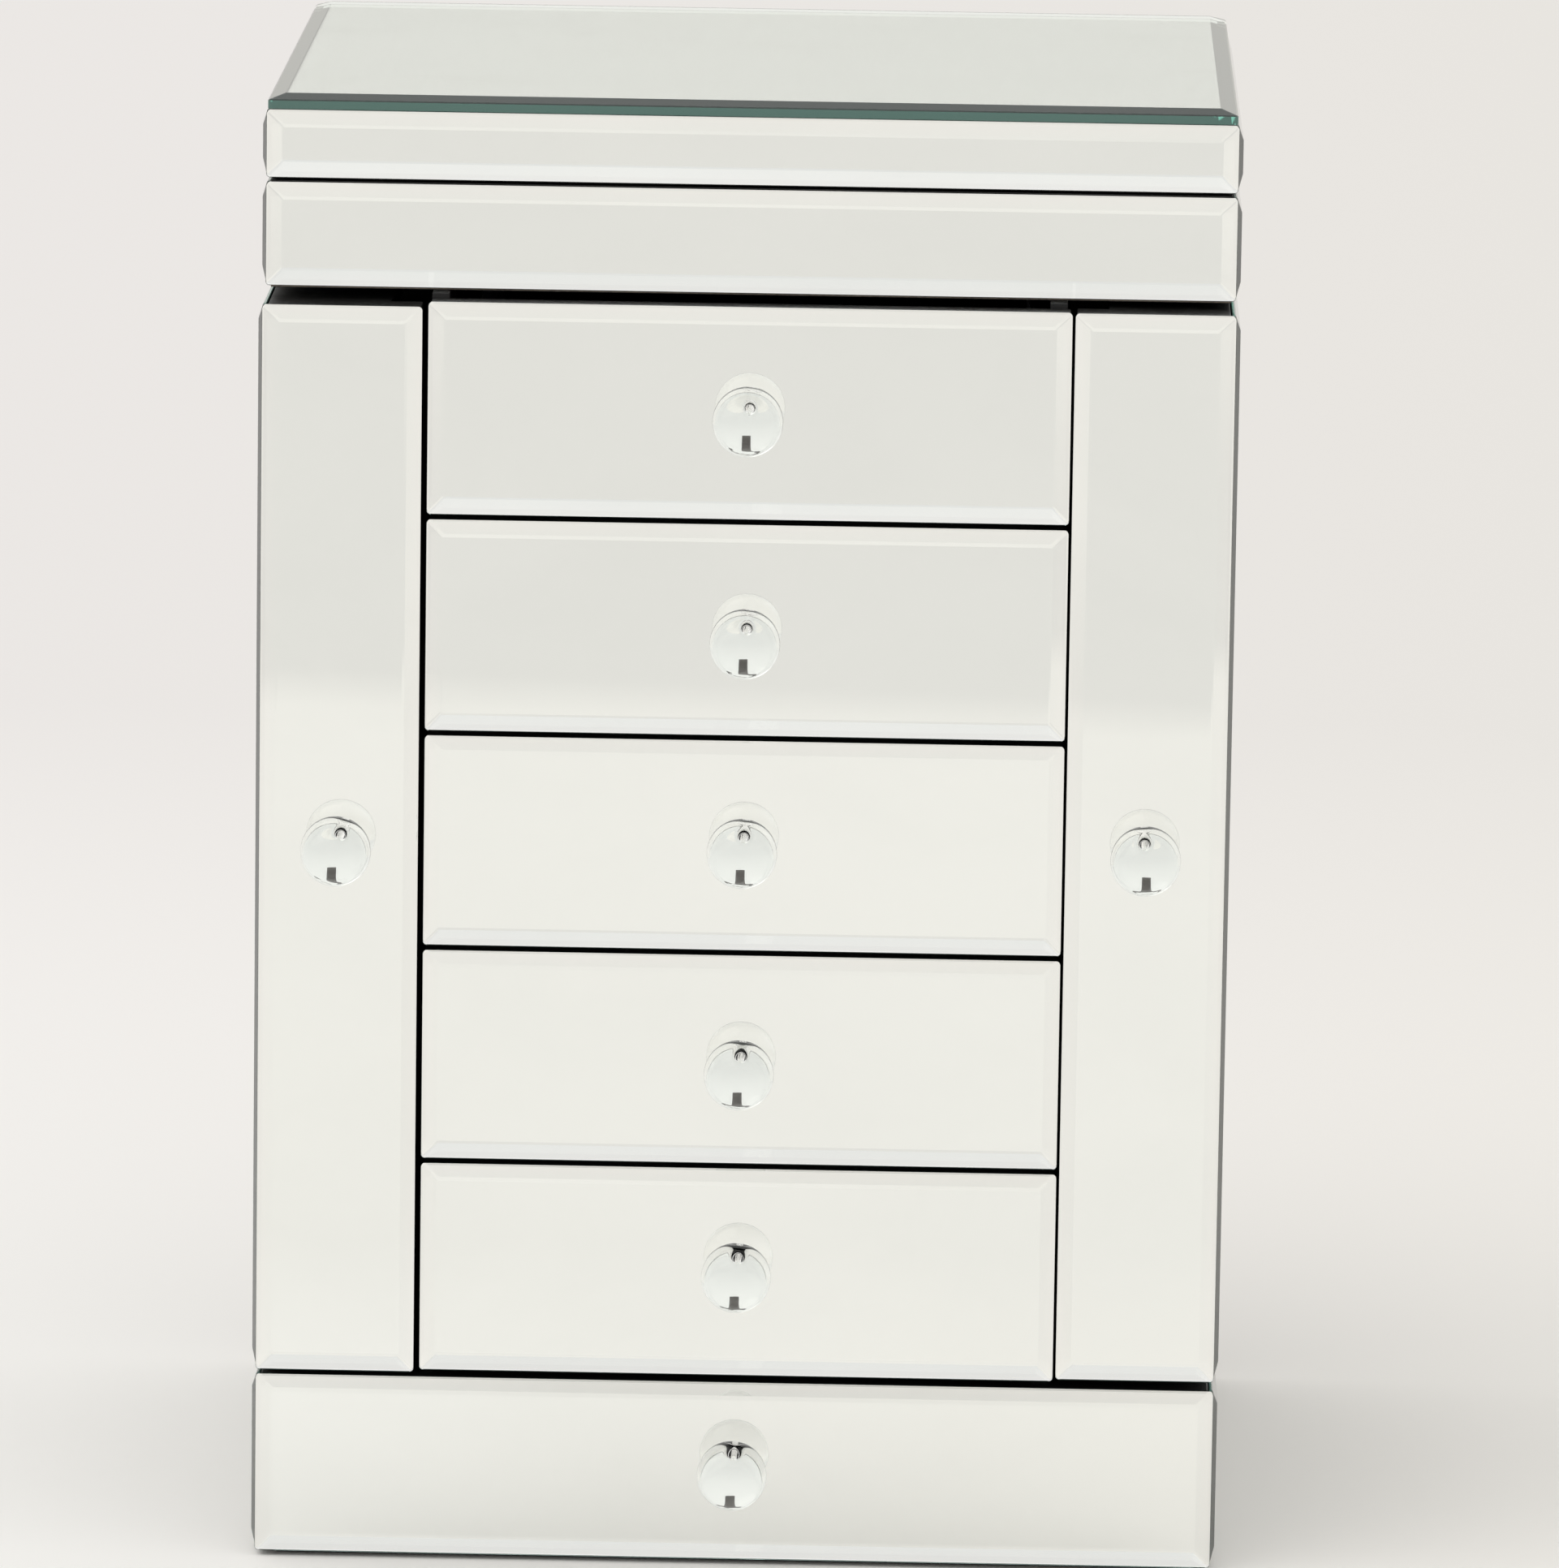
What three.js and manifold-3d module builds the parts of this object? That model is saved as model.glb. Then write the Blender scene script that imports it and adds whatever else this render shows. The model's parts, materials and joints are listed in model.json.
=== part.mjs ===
// Mirrored jewellery chest. A lift-up lid closes a fitted tray box. Below it five drawers stand
// between two swing-out necklace wings, over one full-width base drawer. Millimetres, +Z up, the
// front faces -Y. The origin is on the floor, midway between the knob fronts and the rear hinge.
import * as THREE from 'three';
import Module from 'manifold-3d';
import { mergeVertices } from 'three/addons/utils/BufferGeometryUtils.js';

const wasm = await Module();
wasm.setup();

// Overall. Depths are measured back from the outer face of the lower front mirrors.
const WIDTH = 330; // across a front mirror
const DEPTH = 290;
const STEP_BACK = 18; // the lid and tray box stand this far behind the lower fronts

// Mirror glass: silvered float glass with a ground bevel all round.
const GLASS = 3;
const TOP_GLASS = 5; // on the lid
const BEVEL = 5.8;
const BEVEL_DROP = 1.8;
const CORNER_R = 2;
const GLUE = 0.3; // adhesive between glass and board, and the gap between fitted pieces
const JOINT = 0.1; // glue line between two boards

// Boards.
const BOARD_HALF = 163.3; // outer face of the side boards
const WALL = 9;
const FRONT_BOARD = 12;
const STILE = 15;
const BACK_BOARD = 5;
const COLUMN_WALL = 6;
const DUST_BOARD = 3;
const REVEAL = 0.6; // a front board ends this far inside its glass

// Heights of the glass panels, bottom and top.
const FELT = 1.5;
const BASE_GLASS = [2, 64.6];
const WING_GLASS_BOTTOM = 67.8;
const WING_GLASS_H = 370.6;
const LEFT_WING_SAG = 1.6; // the left wing hangs this much lower on its pins
const DRAWER_TOP = 438.6;
const DRAWER_GLASS_H = 72.9;
const DRAWER_PITCH = 74.65;
const TRAY_GLASS = [440.7, 476.2];
const LID_GLASS = [477.7, 500.9];
const LID_TOP_GLASS_Z = 501.2;

// Widths in the lower section.
const WING_GLASS_W = 54.4;
const DRAWER_GLASS_W = 218.2;
const DRAWER_SHIFT = 0.5; // the drawer glass sits a little towards the right wing
const DRAWER_COUNT = 5;

// Drawer boxes.
const BAY_HALF = 102;
const BOX_SIDE = 5;
const BOX_FLOOR = 3;
const BOX_CLEARANCE = 1;
const BOX_BACK_AT = 272;
const BOX_TOP_DROP = 12; // the box side ends this far below the top of its glass

// Wings. Each turns on an upright axis near its outer rear corner.
const WING_BACK_AT = 279.5;
const WING_PIVOT_X = 158.5;
const WING_PIVOT_AT = 275;
const WING_RAIL = 8;
const WING_RAIL_INNER = 122;
const PIN_R = 2;
const PIN_HOLE_R = 2.5;
const PIN_LENGTH = 9;
const PIN_FLANGE_R = 3.6;
const PIN_FLANGE = 0.8;

// Knobs: a clear ball on a short neck with a spread foot. Most sit a little off centre.
const BALL_R = 12;
const BALL_CENTRE = 13.6; // ahead of the glass
const NECK_R = 2.6;
const FOOT_R = 3.6;
const KNOB_LIFT = {
  drawer_1: -0.4, drawer_2: -2, drawer_3: 0.3, drawer_4: -2, drawer_5: 1.7, base_drawer: 2.2,
};

// Lid hinge: a long butt hinge behind the back board.
const HINGE_AXIS_AT = DEPTH + 3.3;
const HINGE_AXIS_Z = 477;
const BARREL_R = 2.6;
const HINGE_PIN_R = 1.3;
const HINGE_LEAF = 1.4;
const HINGE_LEAF_H = 22;
const KNUCKLE = 38;
const KNUCKLE_COUNT = 7;

const KNOB_REACH = BALL_CENTRE + BALL_R;
const REAR_REACH = HINGE_AXIS_AT + BARREL_R;
const yAt = (depth) => depth - (REAR_REACH - KNOB_REACH) / 2;

const CARCASS_TOP = TRAY_GLASS[1] + 0.4;
const BACK_FACE_AT = DEPTH - BACK_BOARD;
const BOARD_FRONT = GLASS + GLUE;
const UPPER_BOARD_FRONT = STEP_BACK + BOARD_FRONT;
const COLUMN_FRONT = BOARD_FRONT + FRONT_BOARD + 0.6;
const BASE_BOARD = [FELT + 0.2, 7.7];
const BASE_TOP = [56.3, BASE_GLASS[1] - 0.3];
const TRAY_FLOOR = [TRAY_GLASS[0] - 0.7, TRAY_GLASS[0] + 5.3];

const material = (color, roughness, metalness) =>
  new THREE.MeshStandardMaterial({ color, roughness, metalness });
const MIRROR = material(0xdfe2dd, 0.04, 1);
const BLACK_BOARD = material(0x17171a, 0.55, 0);
const VELVET = material(0x121214, 0.95, 0);
const CLEAR = material(0xeef4f1, 0.03, 0);
const STEEL = material(0x8f9294, 0.3, 1);
const BRASS = material(0xb89a58, 0.3, 1);

const chest = new THREE.Group();

function place(name, geometry, surface) {
  const mesh = new THREE.Mesh(geometry, surface);
  mesh.name = name;
  chest.add(mesh);
  return mesh;
}

// A box from its span across (x), its span in depth (front to back) and its span in height (z).
function block([x0, x1], [d0, d1], [z0, z1]) {
  const geometry = new THREE.BoxGeometry(x1 - x0, d1 - d0, z1 - z0);
  return geometry.translate((x0 + x1) / 2, yAt((d0 + d1) / 2), (z0 + z1) / 2);
}

function toSolid(geometry) {
  const bare = geometry.clone();
  bare.deleteAttribute('normal');
  bare.deleteAttribute('uv');
  const merged = mergeVertices(bare, 1e-4);
  const vertProperties = new Float32Array(merged.attributes.position.array);
  const triVerts = new Uint32Array(merged.index.array);
  return new wasm.Manifold(new wasm.Mesh({ numProp: 3, vertProperties, triVerts }));
}

function toGeometry(solid) {
  const { vertProperties, triVerts } = solid.getMesh();
  const geometry = new THREE.BufferGeometry();
  geometry.setAttribute('position', new THREE.BufferAttribute(vertProperties, 3));
  geometry.setIndex(new THREE.BufferAttribute(triVerts, 1));
  geometry.computeVertexNormals();
  return geometry;
}

const solidBlock = (...spans) => toSolid(block(...spans));
const union = (solids) => solids.reduce((all, next) => all.add(next));

// Corner points of a rectangle with rounded corners, counter-clockwise about its centre.
function roundedOutline(width, height, radius, steps = 3) {
  const points = [];
  for (let corner = 0; corner < 4; corner++) {
    const sx = corner === 0 || corner === 3 ? 1 : -1;
    const sy = corner < 2 ? 1 : -1;
    for (let i = 0; i <= steps; i++) {
      const angle = (corner + i / steps) * Math.PI / 2;
      points.push([
        sx * (width / 2 - radius) + radius * Math.cos(angle),
        sy * (height / 2 - radius) + radius * Math.sin(angle),
      ]);
    }
  }
  return points;
}

// A bevelled pane, its back on z = 0 and its face at z = thick, centred on the z axis.
function paneGeometry(width, height, thick) {
  const outer = roundedOutline(width, height, CORNER_R);
  const inner = roundedOutline(width - 2 * BEVEL, height - 2 * BEVEL, CORNER_R / 4);
  const rings = [[outer, 0], [outer, thick - BEVEL_DROP], [inner, thick]];
  const count = outer.length;
  const positions = rings.flatMap(([ring, z]) => ring.flatMap(([x, y]) => [x, y, z]));
  positions.push(0, 0, 0, 0, 0, thick);
  const backCentre = 3 * count;
  const faceCentre = backCentre + 1;
  const index = [];
  for (let i = 0; i < count; i++) {
    const j = (i + 1) % count;
    for (let ring = 0; ring < 2; ring++) {
      const a = ring * count + i;
      const b = ring * count + j;
      index.push(a, b, b + count, a, b + count, a + count);
    }
    index.push(backCentre, j, i, faceCentre, 2 * count + i, 2 * count + j);
  }
  const geometry = new THREE.BufferGeometry();
  geometry.setAttribute('position', new THREE.Float32BufferAttribute(positions, 3));
  geometry.setIndex(index);
  return geometry;
}

const across = new THREE.Vector3(1, 0, 0);
const back = new THREE.Vector3(0, 1, 0);
const up = new THREE.Vector3(0, 0, 1);
const reversed = (v) => v.clone().negate();

// A pane turned so that its width, height and face directions are the three given axes, with the
// middle of its back face at a point.
function pane(name, [width, height], [along, upwards, facing], [x, depth, z], thick = GLASS) {
  const turn = new THREE.Matrix4().makeBasis(along, upwards, facing);
  const geometry = paneGeometry(width, height, thick).applyMatrix4(turn);
  place(name, geometry.translate(x, yAt(depth), z), MIRROR);
}

function frontPane(name, [x0, x1], face, [z0, z1]) {
  const at = [(x0 + x1) / 2, face + GLASS, (z0 + z1) / 2];
  pane(name, [x1 - x0, z1 - z0], [across, up, reversed(back)], at);
}

function sidePane(name, side, [d0, d1], [z0, z1]) {
  const at = [side * (BOARD_HALF + GLUE), (d0 + d1) / 2, (z0 + z1) / 2];
  const along = side > 0 ? back : reversed(back);
  pane(name, [d1 - d0, z1 - z0], [along, up, across.clone().multiplyScalar(side)], at);
}

// A turned knob standing forward from the glass.
function knob(name, x, z) {
  const meet = Math.asin(NECK_R / BALL_R);
  const profile = [[0, 0], [FOOT_R, 0], [FOOT_R, 0.4], [NECK_R, 1]];
  const steps = 9;
  for (let i = 0; i < steps; i++) {
    const angle = meet + (Math.PI - meet) * i / steps;
    profile.push([BALL_R * Math.sin(angle), BALL_CENTRE - GLUE - BALL_R * Math.cos(angle)]);
  }
  profile.push([0, KNOB_REACH - GLUE]);
  const points = profile.map(([r, h]) => new THREE.Vector2(r, h));
  const geometry = new THREE.LatheGeometry(points, 16);
  geometry.rotateX(Math.PI);
  place(name, geometry.translate(x, yAt(-GLUE), z), CLEAR);
}

// Carcass: what stands still.
function carcass() {
  const inner = BACK_FACE_AT - GLUE;
  const full = [-BOARD_HALF, BOARD_HALF];
  const boards = {
    base_board: [full, [BOARD_FRONT + 0.3, inner], BASE_BOARD],
    base_top: [full, [BOARD_FRONT + 0.3, inner], BASE_TOP],
    back_panel: [full, [BACK_FACE_AT, DEPTH], [BASE_BOARD[0], CARCASS_TOP]],
  };
  const between = [BASE_TOP[1] + JOINT, TRAY_FLOOR[0] - JOINT];
  for (const [side, word] of [[-1, 'left'], [1, 'right']]) {
    const span = (a, b) => [side * a, side * b].sort((p, q) => p - q);
    boards[`base_side_${word}`] = [
      span(BOARD_HALF - WALL, BOARD_HALF),
      [BOARD_FRONT + 0.3, inner],
      [BASE_BOARD[1] + JOINT, BASE_TOP[0] - JOINT],
    ];
    boards[`column_wall_${word}`] = [
      span(BAY_HALF, BAY_HALF + COLUMN_WALL), [COLUMN_FRONT, inner], between,
    ];
  }
  for (let i = 1; i < DRAWER_COUNT; i++) {
    const middle = DRAWER_TOP - DRAWER_PITCH * i + (DRAWER_PITCH - DRAWER_GLASS_H) / 2;
    boards[`dust_board_${i}`] = [
      [-BAY_HALF + JOINT, BAY_HALF - JOINT],
      [COLUMN_FRONT, inner],
      [middle - DUST_BOARD / 2, middle + DUST_BOARD / 2],
    ];
  }
  for (const [name, spans] of Object.entries(boards)) place(name, block(...spans), BLACK_BOARD);
  place('base_felt', block([-158, 158], [8, DEPTH - 8], [0, FELT]), VELVET);
  for (const [side, word] of [[-1, 'left'], [1, 'right']]) {
    sidePane(`base_mirror_${word}`, side, [BOARD_FRONT + 0.3, DEPTH], BASE_GLASS);
  }
}

// Tray box under the lid: an open box with a ring cushion and a divider in it.
function trayBox() {
  const outer = [[-BOARD_HALF, BOARD_HALF], [UPPER_BOARD_FRONT, BACK_FACE_AT - GLUE]];
  const cavity = [
    [-BOARD_HALF + WALL, BOARD_HALF - WALL],
    [UPPER_BOARD_FRONT + WALL, BACK_FACE_AT - GLUE - WALL],
    [TRAY_FLOOR[1], CARCASS_TOP + 5],
  ];
  const box = solidBlock(...outer, [TRAY_FLOOR[0], CARCASS_TOP]).subtract(solidBlock(...cavity));
  place('tray_box', toGeometry(box), BLACK_BOARD);
  frontPane('tray_mirror_front', [-WIDTH / 2, WIDTH / 2], STEP_BACK, TRAY_GLASS);
  sidePane('tray_mirror_left', -1, [UPPER_BOARD_FRONT, DEPTH], TRAY_GLASS);
  sidePane('tray_mirror_right', 1, [UPPER_BOARD_FRONT, DEPTH], TRAY_GLASS);
  const floor = TRAY_FLOOR[1] + GLUE;
  ringCushion([cavity[0][0] + 1, cavity[0][1] - 1], cavity[1][0] + 1, floor);
  trayDivider(cavity[0], [cavity[1][0] + 78, cavity[1][1]], floor);
}

// Four rolls side by side, drawn in section and carried across the tray.
function ringCushion([x0, x1], front, floor) {
  const rolls = 4;
  const roll = 18;
  const foot = 8;
  const section = new THREE.Shape();
  section.moveTo(0, 0);
  section.lineTo(rolls * roll, 0);
  section.lineTo(rolls * roll, foot);
  for (let i = rolls - 1; i >= 0; i--) {
    const steps = 6;
    for (let k = 1; k <= steps; k++) {
      const angle = Math.PI * k / steps;
      section.lineTo((i + 0.5) * roll + Math.cos(angle) * roll / 2, foot + Math.sin(angle) * 12);
    }
  }
  const bar = new THREE.ExtrudeGeometry(section, { depth: x1 - x0, bevelEnabled: false });
  bar.applyMatrix4(new THREE.Matrix4().makeBasis(back, up, across));
  place('ring_cushion', bar.translate(x0, yAt(front), floor), VELVET);
}

function trayDivider([x0, x1], [d0, d1], floor) {
  const board = 3;
  const height = [floor, floor + 22];
  const parts = [solidBlock([x0 + GLUE, x1 - GLUE], [d0, d0 + board], height)];
  for (const x of [-52, 52]) {
    parts.push(solidBlock([x - board / 2, x + board / 2], [d0 + 1, d1 - GLUE], height));
  }
  place('tray_divider', toGeometry(union(parts)), BLACK_BOARD);
}

// Lid: an inverted shallow box with its own mirrors.
function lid() {
  const rim = [LID_GLASS[0] - 0.4, LID_GLASS[1]];
  const outer = solidBlock([-BOARD_HALF, BOARD_HALF], [UPPER_BOARD_FRONT, DEPTH - GLUE], rim);
  const hollow = solidBlock(
    [-BOARD_HALF + WALL, BOARD_HALF - WALL],
    [UPPER_BOARD_FRONT + WALL, DEPTH - GLUE - WALL],
    [rim[0] - 5, rim[1] - 6],
  );
  place('lid_frame', toGeometry(outer.subtract(hollow)), BLACK_BOARD);
  frontPane('lid_mirror_front', [-WIDTH / 2, WIDTH / 2], STEP_BACK, LID_GLASS);
  sidePane('lid_mirror_left', -1, [UPPER_BOARD_FRONT, DEPTH], LID_GLASS);
  sidePane('lid_mirror_right', 1, [UPPER_BOARD_FRONT, DEPTH], LID_GLASS);
  const topDepth = [STEP_BACK + 0.4, DEPTH];
  pane(
    'lid_mirror_top',
    [WIDTH - 1, topDepth[1] - topDepth[0]],
    [across, back, up],
    [0, (topDepth[0] + topDepth[1]) / 2, LID_TOP_GLASS_Z],
    TOP_GLASS,
  );
}

// Half of the lid hinge: a leaf plate with every second knuckle of the barrel.
function hingeHalf(name, first, above) {
  const start = -KNUCKLE * KNUCKLE_COUNT / 2;
  const plate = [DEPTH + 0.1, DEPTH + 0.1 + HINGE_LEAF];
  const clear = BARREL_R + 0.4;
  const leafZ = above
    ? [HINGE_AXIS_Z + clear, HINGE_AXIS_Z + HINGE_LEAF_H]
    : [HINGE_AXIS_Z - HINGE_LEAF_H, HINGE_AXIS_Z - clear];
  const parts = [solidBlock([start, -start], plate, leafZ)];
  for (let i = first; i < KNUCKLE_COUNT; i += 2) {
    const span = [start + i * KNUCKLE + 0.2, start + (i + 1) * KNUCKLE - 0.2];
    const tabZ = above ? [HINGE_AXIS_Z, leafZ[0] + 1] : [leafZ[1] - 1, HINGE_AXIS_Z];
    parts.push(solidBlock(span, plate, tabZ), barrel(span, BARREL_R));
  }
  const reach = [start + 0.2, -start - 0.2];
  const body = above
    ? union(parts).subtract(barrel([start - 1, 1 - start], HINGE_PIN_R + 0.3))
    : union([...parts, barrel(reach, HINGE_PIN_R)]);
  place(name, toGeometry(body), STEEL);
}

function barrel([x0, x1], radius) {
  const rod = new THREE.CylinderGeometry(radius, radius, x1 - x0, 12);
  rod.rotateZ(Math.PI / 2);
  return toSolid(rod.translate((x0 + x1) / 2, yAt(HINGE_AXIS_AT), HINGE_AXIS_Z));
}

// A drawer: an open box with a front board, its mirror and its knob. The box is given by its half
// width, its height span and how far its front board stands out to each side.
function drawer(name, glassX, glassZ, boxHalf, boxZ, frontX, frontZ) {
  const frontDepth = [BOARD_FRONT, BOARD_FRONT + FRONT_BOARD];
  const body = union([
    solidBlock([-boxHalf, boxHalf], [frontDepth[1] - 1, BOX_BACK_AT], boxZ),
    solidBlock(frontX, frontDepth, frontZ),
  ]).subtract(solidBlock(
    [-boxHalf + BOX_SIDE, boxHalf - BOX_SIDE],
    [frontDepth[1], BOX_BACK_AT - BOX_SIDE],
    [boxZ[0] + BOX_FLOOR, frontZ[1] + 5],
  ));
  place(`${name}_box`, toGeometry(body), BLACK_BOARD);
  frontPane(`${name}_mirror`, glassX, 0, glassZ);
  const middle = (glassZ[0] + glassZ[1]) / 2;
  knob(`${name}_knob`, (glassX[0] + glassX[1]) / 2, middle + KNOB_LIFT[name]);
}

function middleDrawers() {
  const half = DRAWER_GLASS_W / 2;
  const glassX = [DRAWER_SHIFT - half, DRAWER_SHIFT + half];
  const frontX = [glassX[0] + REVEAL, glassX[1] - REVEAL];
  const gap = DRAWER_PITCH - DRAWER_GLASS_H;
  for (let i = 0; i < DRAWER_COUNT; i++) {
    const top = DRAWER_TOP - DRAWER_PITCH * i;
    const glassZ = [top - DRAWER_GLASS_H, top];
    const frontZ = [glassZ[0] + REVEAL, glassZ[1] - REVEAL];
    const boxZ = [glassZ[0] - gap / 2 + DUST_BOARD / 2 + 0.5, top - BOX_TOP_DROP];
    drawer(`drawer_${i + 1}`, glassX, glassZ, BAY_HALF - BOX_CLEARANCE, boxZ, frontX, frontZ);
  }
}

function baseDrawer() {
  const opening = [BASE_BOARD[1], BASE_TOP[0]];
  const half = BOARD_HALF - WALL - BOX_CLEARANCE;
  const boxZ = [opening[0] + 0.5, opening[1] - 6];
  const frontZ = [opening[0] + 0.6, opening[1] - 0.6];
  const glassX = [-WIDTH / 2, WIDTH / 2];
  drawer('base_drawer', glassX, BASE_GLASS, half, boxZ, [-half, half], frontZ);
}

// A wing: front stile, side board and two rails, open towards the drawers.
function wing(side, word, sag) {
  const span = (a, b) => [side * a, side * b].sort((p, q) => p - q);
  const bottom = WING_GLASS_BOTTOM - sag;
  const glassZ = [bottom, bottom + WING_GLASS_H];
  const boardZ = [glassZ[0] + REVEAL, glassZ[1] - REVEAL];
  const glassInner = WIDTH / 2 - WING_GLASS_W;
  const stileBack = BOARD_FRONT + STILE;
  const railX = span(WING_RAIL_INNER, BOARD_HALF - 1);
  const railDepth = [stileBack - 1, WING_BACK_AT];
  const lowRail = [boardZ[0], boardZ[0] + WING_RAIL];
  const highRail = [boardZ[1] - WING_RAIL, boardZ[1]];
  const hole = (z) => pinRod(side, PIN_HOLE_R, [z - PIN_LENGTH - 1, z + PIN_LENGTH + 1]);
  const body = union([
    solidBlock(span(glassInner + REVEAL, BOARD_HALF), [BOARD_FRONT, stileBack], boardZ),
    solidBlock(span(BOARD_HALF - WALL, BOARD_HALF), [BOARD_FRONT, WING_BACK_AT], boardZ),
    solidBlock(railX, railDepth, lowRail),
    solidBlock(railX, railDepth, highRail),
  ]).subtract(hole(boardZ[0])).subtract(hole(boardZ[1]));
  place(`wing_${word}_frame`, toGeometry(body), BLACK_BOARD);
  const glassX = span(glassInner, WIDTH / 2);
  frontPane(`wing_${word}_mirror_front`, glassX, 0, glassZ);
  sidePane(`wing_${word}_mirror_side`, side, [BOARD_FRONT, WING_BACK_AT], glassZ);
  knob(`wing_${word}_knob`, (glassX[0] + glassX[1]) / 2, (glassZ[0] + glassZ[1]) / 2);
  necklaceRail(`wing_${word}_necklace_rail`, side, glassZ[1] - 45);
  pivotPin(`wing_${word}_pin_bottom`, side, BASE_TOP[1], boardZ[0], 1);
  pivotPin(`wing_${word}_pin_top`, side, TRAY_FLOOR[0], boardZ[1], -1);
}

function pinRod(side, radius, [z0, z1]) {
  const rod = new THREE.CylinderGeometry(radius, radius, z1 - z0, 12).rotateX(Math.PI / 2);
  return toSolid(rod.translate(side * WING_PIVOT_X, yAt(WING_PIVOT_AT), (z0 + z1) / 2));
}

// A flanged pin on a fixed board, its shank standing in the hole of the wing's rail.
function pivotPin(name, side, boardZ, wingZ, direction) {
  const ordered = (a, b) => [Math.min(a, b), Math.max(a, b)];
  const seat = boardZ + direction * JOINT;
  const flange = pinRod(side, PIN_FLANGE_R, ordered(seat, seat + direction * PIN_FLANGE));
  const shank = pinRod(side, PIN_R, ordered(seat, wingZ + direction * PIN_LENGTH));
  place(name, toGeometry(flange.add(shank)), BRASS);
}

// A bar with round-ended pegs that necklaces hang from, on the inside of a wing's side board.
function necklaceRail(name, side, z) {
  const span = (a, b) => [side * a, side * b].sort((p, q) => p - q);
  const face = BOARD_HALF - WALL - GLUE;
  const bar = 8;
  const pegs = 5;
  const pitch = 42;
  const first = 62;
  const parts = [solidBlock(
    span(face - bar, face), [first - 20, first + pitch * (pegs - 1) + 20], [z - 6, z + 6],
  )];
  const profile = [[0, -1], [1.8, -1], [1.8, 13], [3.4, 15], [2.4, 17.4], [0, 18]];
  const points = profile.map(([r, h]) => new THREE.Vector2(r, h));
  for (let i = 0; i < pegs; i++) {
    const peg = new THREE.LatheGeometry(points, 8).rotateZ(side * Math.PI / 2);
    parts.push(toSolid(peg.translate(side * (face - bar), yAt(first + pitch * i), z)));
  }
  place(name, toGeometry(union(parts)), BLACK_BOARD);
}

carcass();
trayBox();
lid();
hingeHalf('lid_hinge_leaf_case', 0, false);
hingeHalf('lid_hinge_leaf_lid', 1, true);
middleDrawers();
baseDrawer();
wing(-1, 'left', LEFT_WING_SAG);
wing(1, 'right', 0);

export default chest;
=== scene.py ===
import json
import math
import random

import bmesh
import bpy
from mathutils import Matrix, Vector


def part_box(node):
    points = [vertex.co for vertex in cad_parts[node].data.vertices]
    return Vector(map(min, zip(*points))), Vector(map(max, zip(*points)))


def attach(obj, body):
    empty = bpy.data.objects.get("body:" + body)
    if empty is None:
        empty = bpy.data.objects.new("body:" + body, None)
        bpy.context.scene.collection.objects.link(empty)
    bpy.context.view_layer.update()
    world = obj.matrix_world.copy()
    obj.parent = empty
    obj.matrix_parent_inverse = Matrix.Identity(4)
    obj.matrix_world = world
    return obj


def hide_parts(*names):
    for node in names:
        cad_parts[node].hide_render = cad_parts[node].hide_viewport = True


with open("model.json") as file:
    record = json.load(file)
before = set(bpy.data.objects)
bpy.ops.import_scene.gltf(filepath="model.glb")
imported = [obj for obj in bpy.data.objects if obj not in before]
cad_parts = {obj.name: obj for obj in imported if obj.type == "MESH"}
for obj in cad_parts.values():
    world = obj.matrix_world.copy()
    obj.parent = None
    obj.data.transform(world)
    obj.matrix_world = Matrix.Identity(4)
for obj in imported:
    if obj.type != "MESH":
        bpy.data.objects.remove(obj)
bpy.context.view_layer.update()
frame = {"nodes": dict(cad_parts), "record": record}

MM = 0.001
NODES = frame["nodes"]
BODY_OF = {n: b for b, ns in frame["record"]["behaviour"]["bodies"].items() for n in ns}
SCENE = bpy.context.scene
MIX_AMOUNT, MIX_A, MIX_B, MIX_RESULT = 0, 6, 7, 2  # the colour sockets of a Mix node


# ---------------------------------------------------------------- materials

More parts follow.
